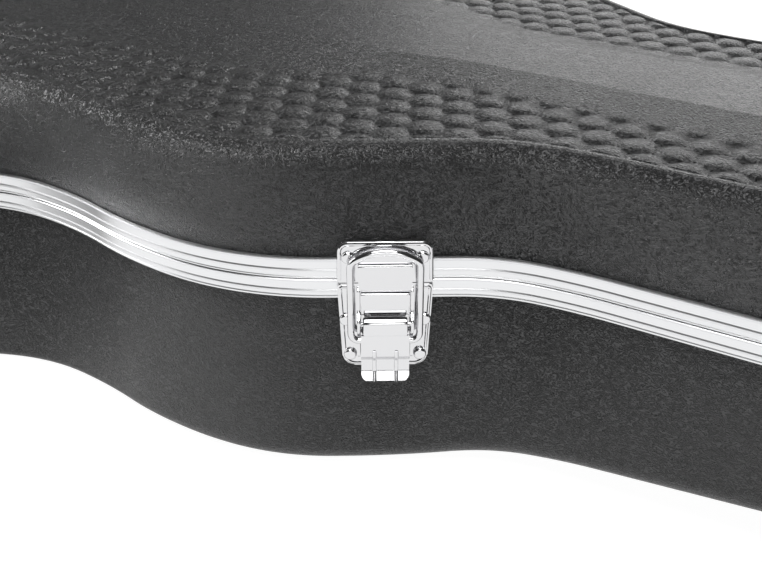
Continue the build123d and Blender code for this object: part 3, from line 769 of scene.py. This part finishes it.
def plate_mesh(work):
    """The base's half of a latch: a plate, its bridge, and the ears of the lever's pin."""
    corners = mirrored([(20.2, -1.1, 1.8), (18.3, -42.3, 5.5)])
    prism(work, rounded(corners, 7), flat_on_wall, PLATE_BACK, PLATE_FACE, 0.55)
    rim = [(18.9, -2.9, 1.0), (17.1, -41.1, 4.4), (-17.1, -41.1, 4.4), (-18.9, -2.9, 1.0)]
    rim = rounded([(13.0, -2.9, 0.0), *rim, (-13.0, -2.9, 0.0)], 7, closed=False)
    tube(work, bar_path(rim, PLATE_FACE - 0.35), 0.8, 10)
    bridge = [(-5.1, PLATE_FACE - 0.4, 0.0), (-5.1, STRIP_FACE, 0.9)]
    bridge += [(-15.7, STRIP_FACE, 0.5), (-15.7, PLATE_FACE - 0.4, 0.0)]
    prism(work, rounded(bridge), across_wall, -10.3, 10.3, 0.3)
    # side rails, which end in the ears that hold the lever's pin
    ear = [(-2.2, PLATE_FACE - 0.4, 0.0), (-3.6, STRIP_FACE + 0.4, 1.0)]
    ear += [(-13.8, STRIP_FACE + 0.4, 1.5), (-15.2, LEVER_P + 3.2, 2.0)]
    ear += [(-22.2, LEVER_P + 3.2, 3.0), (-23.4, STRIP_FACE - 0.3, 1.5)]
    ear += [(-36.5, STRIP_FACE - 0.3, 1.5), (-38.5, PLATE_FACE - 0.4, 0.0)]
    for side in (-1, 1):
        low, high = sorted((side * 10.75, side * 11.9))
        prism(work, rounded(ear), across_wall, low, high, 0.3, 2)


def lever_mesh(work):
    """The lever: a rolled sheet that bends down into the finger tab, with the bail's lugs."""
    top = LEVER_FACE - 0.6
    roll = [(LEVER_V + 2.4, LEVER_P - 1.0, 0.0), (LEVER_V + 2.0, top, 1.6), (-22.95, top, 0.0)]
    roll = rounded(roll, 8, closed=False)
    prism(work, sheet_outline(roll, 1.2), across_wall, -9.3, 9.3, 0.5)
    prism(work, ring_outline(LEVER_V, LEVER_P, 1.9), across_wall, -9.3, 9.3, 0.3)
    lower = [(-22.9, top, 0.0), (-33.2, top, 1.6), (-36.2, top - 2.3, 1.8), (-42.0, top - 2.3, 2.5)]
    lower += [(TAB_END + d, top - 0.3 - 0.43 * d, 0.0) for d in (2.6, 2.0, 1.4, 0.9, 0.5, 0.2, 0.0)]
    line = rounded(lower, 6, closed=False)
    outline = sheet_outline(line, 1.2)
    done = set(work.verts)
    prism(work, outline, across_wall, -TAB_HALF, TAB_HALF, 0.45)
    for vert in set(work.verts) - done:
        # the finger tab's lower corners are rounded
        short = TAB_CORNER - max(0.0, vert.co.y - TAB_END)
        if short > 0:
            reach = TAB_HALF - TAB_CORNER + sqrt(TAB_CORNER**2 - min(short, TAB_CORNER) ** 2)
            vert.co.x = max(-reach, min(reach, vert.co.x))
    for side in (-1, 1):
        # a rib runs from above the bend down into the finger tab
        path = []
        rib = [Vector((side * 4.7, v, p + 0.3)) for v, p in line if v < -31.0]
        rib.insert(0, Vector((side * 4.7, -30.6, top + 0.1)))
        for k, here in enumerate(rib):
            along = (rib[min(k + 1, len(rib) - 1)] - rib[max(k - 1, 0)]).normalized()
            path.append((here, Vector((1, 0, 0)), along.cross(Vector((1, 0, 0)))))
        tube(work, path, 1.0, 12)
        low, high = sorted((side * 10.3, side * 7.8))
        lug = [(BAIL_V + 2.4, top - 0.2, 0.0), (BAIL_V - 2.4, top - 0.2, 0.0)]
        lug += [(BAIL_V - 2.4, BAIL_P - 1.9, 1.8), (BAIL_V + 2.4, BAIL_P - 1.9, 1.8)]
        prism(work, rounded(lug), across_wall, low, high, 0.3, 2)


def bail_mesh(work):
    """The wire loop, from its two feet in the lever's lugs over the arch at its top."""
    chain = [(3.1, 0.0), (3.5, 90.0), (BAIL_LEG, 0.0), (4.5, 58.4)]
    half = walk(chain, 8.0, BAIL_V, 0.0, 0.8)
    end_x, _, _ = half[-1]
    half = half[:-1] + walk([(end_x / sin(radians(31.6)), 31.6)], *half[-1], 0.8)
    other = [(-x, y, 360.0 - h) for x, y, h in reversed(half[:-1])]
    tube(work, plane_path(half + other, BAIL_P), BAIL_R, 16)


LATCH_PIECES = {
    "keeper": (keeper_mesh, "lid"),
    "plate": (plate_mesh, "base"),
    "lever": (lever_mesh, "lever_{}"),
    "bail": (bail_mesh, "bail_{}"),
}


def fitting_piece(name, build, place, body, node, material, smooth=35.0):
    """A piece built in a fitting's own frame, put in its place on the case."""
    work = bmesh.new()
    build(work)
    bmesh.ops.transform(work, matrix=Matrix.Scale(MM, 4) @ place, verts=work.verts)
    piece = add_object(name, mesh_of(work, name))
    finish_piece(piece, material, body, smooth)
    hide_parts(node)


for latch in LATCHES:
    latch_place = fitting_matrix(f"lever_{latch}_turn", LEVER_V, LEVER_P)
    for part, (build, body) in LATCH_PIECES.items():
        node = f"latch_{latch}_{part}"
        rides_on = body.format(latch)
        fitting_piece(f"{node}_skin", build, latch_place, rides_on, node, CHROME)


# ---------------------------------------------------------------- handle
HANDLE_V, HANDLE_P = -26.0, 12.5


def handle_mesh(work):
    """A moulded grip: a bar of rounded section that bends up into an arm at each end."""
    chain = [(33.0, 0.0), (15.0, 90.0), (84.0, 0.0), (15.0, 90.0), (33.0, 0.0)]
    path = walk(chain, -57.0, -20.0, -90.0, 1.5)
    sides = 32
    rings = []
    for k, (u, v, heading) in enumerate(path):
        outward = Vector((sin(radians(heading)), -cos(radians(heading))))
        bar = float(ease(-v, 52.0, 67.0))
        end = min(k, len(path) - 1 - k) * 1.5
        round_end = sqrt(max(0.05, 1 - max(0.0, 1 - end / 5.0) ** 2))
        half, deep = (5.5 + 6.5 * bar) * round_end, (7.5 + 1.5 * bar) * round_end
        finger = 0.07 * (1 + cos(2 * pi * u / 21.0)) * float(1 - ease(abs(u), 36.0, 46.0)) * bar
        ring = []
        for step in range(sides):
            angle = 2 * pi * step / sides
            c, t = cos(angle), sin(angle)
            reach = half * abs(c) ** 0.75 * (1 if c > 0 else -1 + 2 * finger)
            rise = deep * abs(t) ** 0.75 * (1 if t > 0 else -1)
            at = (u + outward.x * reach, v + outward.y * reach, HANDLE_P + rise)
            ring.append(work.verts.new(at))
        rings.append(ring)
    close_bar(work, rings)


fitting_piece(
    "handle_grip_skin",
    handle_mesh,
    fitting_matrix("handle_swing", HANDLE_V, HANDLE_P),
    "handle",
    "handle_grip",
    GRIP,
    50.0,
)


# ---------------------------------------------------------------- lining
SIM_FRAMES = 20


def soft_copy(node, voxel, smooth, shrink=0.0):
    """A padded piece from a frame node's plain solid: even quads and softly rounded edges."""
    piece = add_object(f"{node}_skin", frame["nodes"][node].data.copy())
    work = bmesh.new()
    work.from_mesh(piece.data)
    bmesh.ops.remove_doubles(work, verts=work.verts, dist=0.005 * MM)
    work.to_mesh(piece.data)
    work.free()
    remesh = piece.modifiers.new("remesh", "REMESH")
    remesh.mode = "VOXEL"
    remesh.voxel_size = voxel * MM
    rounding = piece.modifiers.new("round", "SMOOTH")
    rounding.factor = 0.5
    rounding.iterations = smooth
    if shrink:
        inwards = piece.modifiers.new("shrink", "DISPLACE")
        inwards.strength = -shrink * MM
        inwards.mid_level = 0.0
    apply_modifiers(piece)
    return piece


def apply_modifiers(piece):
    """Bakes a piece's modifiers into its mesh."""
    graph = bpy.context.evaluated_depsgraph_get()
    mesh = bpy.data.meshes.new_from_object(piece.evaluated_get(graph))
    piece.modifiers.clear()
    piece.data = mesh


def coordinates(mesh):
    """A mesh's vertex positions, one row each."""
    flat = np.zeros(len(mesh.vertices) * 3)
    mesh.vertices.foreach_get("co", flat)
    return flat.reshape(-1, 3)


def inflate(piece, cap):
    """Fills the pad with a little pressure as cloth; no point moves further than the cap."""
    rest = coordinates(piece.data)
    cloth = piece.modifiers.new("cloth", "CLOTH")
    cloth.settings.quality = 6
    cloth.settings.mass = 0.3
    cloth.settings.use_pressure = True
    cloth.settings.uniform_pressure_force = 4.0
    cloth.settings.effector_weights.gravity = 0.0
    for number in range(1, SIM_FRAMES + 1):
        bpy.context.scene.frame_set(number)
    graph = bpy.context.evaluated_depsgraph_get()
    moved = coordinates(piece.evaluated_get(graph).data) - rest
    piece.modifiers.clear()
    bpy.context.scene.frame_set(1)
    length = np.linalg.norm(moved, axis=1, keepdims=True)
    moved *= np.minimum(1.0, cap * MM / np.maximum(length, 1e-9))
    piece.data.vertices.foreach_set("co", (rest + moved).ravel())
    piece.data.update()


def dress(piece, material):
    """One material all over, in smooth shading."""
    mesh = piece.data
    mesh.materials.clear()
    mesh.materials.append(material)
    mesh.shade_smooth()


def subdivide(piece):
    """Smooths a piece by one round of subdivision."""
    finer = piece.modifiers.new("finer", "SUBSURF")
    finer.levels = finer.render_levels = 1
    apply_modifiers(piece)


# Each pad's node, body, voxel, rounds of smoothing, and how far its cover may swell
PADS = (
    ("body_side_padding", "base", 4.5, 5, 0.0),
    ("pocket_box", "base", 3.2, 3, 0.0),
    ("pocket_side_walls", "base", 3.2, 3, 0.0),
    ("neck_trough", "base", 3.6, 5, 0.0),
    ("head_trough", "base", 3.6, 5, 0.0),
    ("lid_lining", "lid", 3.6, 2, 0.0),
    ("body_floor_pad", "base", 5.0, 2, 2.0),
    ("neck_cradle", "base", 4.0, 4, 2.5),
    ("pocket_flap", "flap", 2.5, 4, 1.5),
)
for node, body, voxel, smooth, swell in PADS:
    pad = soft_copy(node, voxel, smooth, shrink=1.0 if swell else 0.0)
    if swell:
        inflate(pad, swell)
    if swell:
        subdivide(pad)
    dress(pad, PLUSH)
    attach(pad, body)
    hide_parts(node)


RIBBON_THICKNESS = 0.9


def ribbon(name, line, half_width):
    """A flat strip that follows (x, z) points, centred on the case's centreline."""
    outline = sheet_outline(line, RIBBON_THICKNESS)
    work = bmesh.new()
    prism(work, outline, across_case, -half_width, half_width, RIBBON_THICKNESS * 0.3, 2)
    bmesh.ops.scale(work, vec=(MM, MM, MM), verts=work.verts)
    bmesh.ops.recalc_face_normals(work, faces=work.faces)
    piece = add_object(name, mesh_of(work, name))
    dress(piece, RIBBON)
    return piece


flap_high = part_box("pocket_flap")[1] / MM
hinge_x = flap_high.x
strip_top = flap_high.z + 0.5
hinge_line = [(hinge_x + x, strip_top) for x in np.linspace(-9.0, 9.0, 19)]
flap_hinge = ribbon("flap_hinge_strip", hinge_line, 56.0)
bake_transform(flap_hinge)
tab_low, tab_high = (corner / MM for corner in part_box("flap_tab"))
tab_length = tab_high.x - tab_low.x
tab_line = [
    (tab_low.x + share * tab_length, tab_low.z + 0.7 + 3.2 * sin(pi * min(1.0, share * 1.6)) ** 2)
    for share in np.linspace(0, 1, 27)
]
tab = ribbon("flap_tab_ribbon", tab_line, 8.0)
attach(tab, "flap")
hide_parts("flap_tab")


# ---------------------------------------------------------------- pieces kept from the frame
def soften_edges(node, width):
    """Rounds a frame piece's edges as it is shown, without changing its mesh."""
    weld = node.modifiers.new("weld", "WELD")
    weld.merge_threshold = 0.002 * MM
    bevel = node.modifiers.new("edges", "BEVEL")
    bevel.width = width * MM
    bevel.segments = 2
    bevel.limit_method = "ANGLE"
    bevel.angle_limit = radians(40)
    bevel.use_clamp_overlap = True


for node_name, node in frame["nodes"].items():
    if node.hide_render:
        continue
    node.data.materials.clear()
    if "bracket" in node_name:
        node.data.materials.append(GRIP)
        soften_edges(node, 0.6)
    else:
        node.data.materials.append(CHROME)
        soften_edges(node, 0.25)


# ---------------------------------------------------------------- camera, floor and light
CAMERA_AT = Vector((373.0, -442.8, LID_TOP + 152.0)) * MM
CAMERA_HEADING = Vector((-0.536, 0.844, 0.0)).normalized()
CAMERA_PITCH = radians(30.05)
CAMERA_LENS = 47.39


def camera():
    """The photograph's viewpoint."""
    data = bpy.data.cameras.new("camera")
    data.lens = CAMERA_LENS
    data.sensor_width = 36.0
    data.clip_start = 0.02
    data.clip_end = 50.0
    eye = add_object("camera", data)
    eye.location = CAMERA_AT
    aim = CAMERA_HEADING * cos(CAMERA_PITCH) - Vector((0, 0, sin(CAMERA_PITCH)))
    eye.rotation_euler = aim.to_track_quat("-Z", "Y").to_euler()
    bpy.context.scene.camera = eye


def floor():
    """A pale floor that glows a little, so that it stays white under weak light."""
    mesh = bpy.data.meshes.new("floor")
    half = 6.0
    corners = [(-half, -half, 0), (half, -half, 0), (half, half, 0), (-half, half, 0)]
    mesh.from_pydata(corners, [], [(0, 1, 2, 3)])
    plane = add_object("floor", mesh)
    material, _, shader = node_material("floor_white")
    shader.inputs["Base Color"].default_value = (0.12, 0.12, 0.12, 1)
    shader.inputs["Roughness"].default_value = 0.9
    shader.inputs["Emission Color"].default_value = (1, 1, 1, 1)
    shader.inputs["Emission Strength"].default_value = 0.97
    mesh.materials.append(material)


def area_light(name, at, towards, width, height, power):
    """A rectangular soft light that faces a point."""
    data = bpy.data.lights.new(name, "AREA")
    data.shape = "RECTANGLE"
    data.size, data.size_y = width, height
    data.energy = power
    lamp = add_object(name, data)
    lamp.location = at
    lamp.rotation_euler = (towards - at).to_track_quat("-Z", "Y").to_euler()


# Soft panels all round: name, azimuth and elevation in degrees, size in metres, radiance
PANEL_DISTANCE = 2.5
PANELS = (
    ("back_right", 80, 13, 1.9, 1.0, 2.7),
    ("back", 110, 15, 0.9, 0.9, 3.4),
    ("overhead", 302, 75, 1.5, 1.5, 8.0),
    ("left", 190, 32, 1.3, 1.2, 12.0),
    ("front_left", 215, 15, 1.5, 1.0, 1.6),
    ("front", 306, 18, 1.2, 0.8, 3.0),
)


def light():
    """A faint even world, and the panels, all facing the middle of the case."""
    world = bpy.data.worlds.new("studio")
    bpy.context.scene.world = world
    world.use_nodes = True
    bpy.context.scene.view_settings.view_transform = "Standard"
    world.node_tree.nodes["Background"].inputs["Color"].default_value = (1, 1, 1, 1)
    world.node_tree.nodes["Background"].inputs["Strength"].default_value = 0.04
    middle = Vector((0.15, -0.08, 0.12))
    for name, azimuth, elevation, width, height, radiance in PANELS:
        turn, rise = radians(azimuth), radians(elevation)
        aim = Vector((cos(rise) * cos(turn), cos(rise) * sin(turn), sin(rise)))
        power = pi * width * height * radiance
        area_light(name, middle + PANEL_DISTANCE * aim, middle, width, height, power)


camera()
floor()
light()
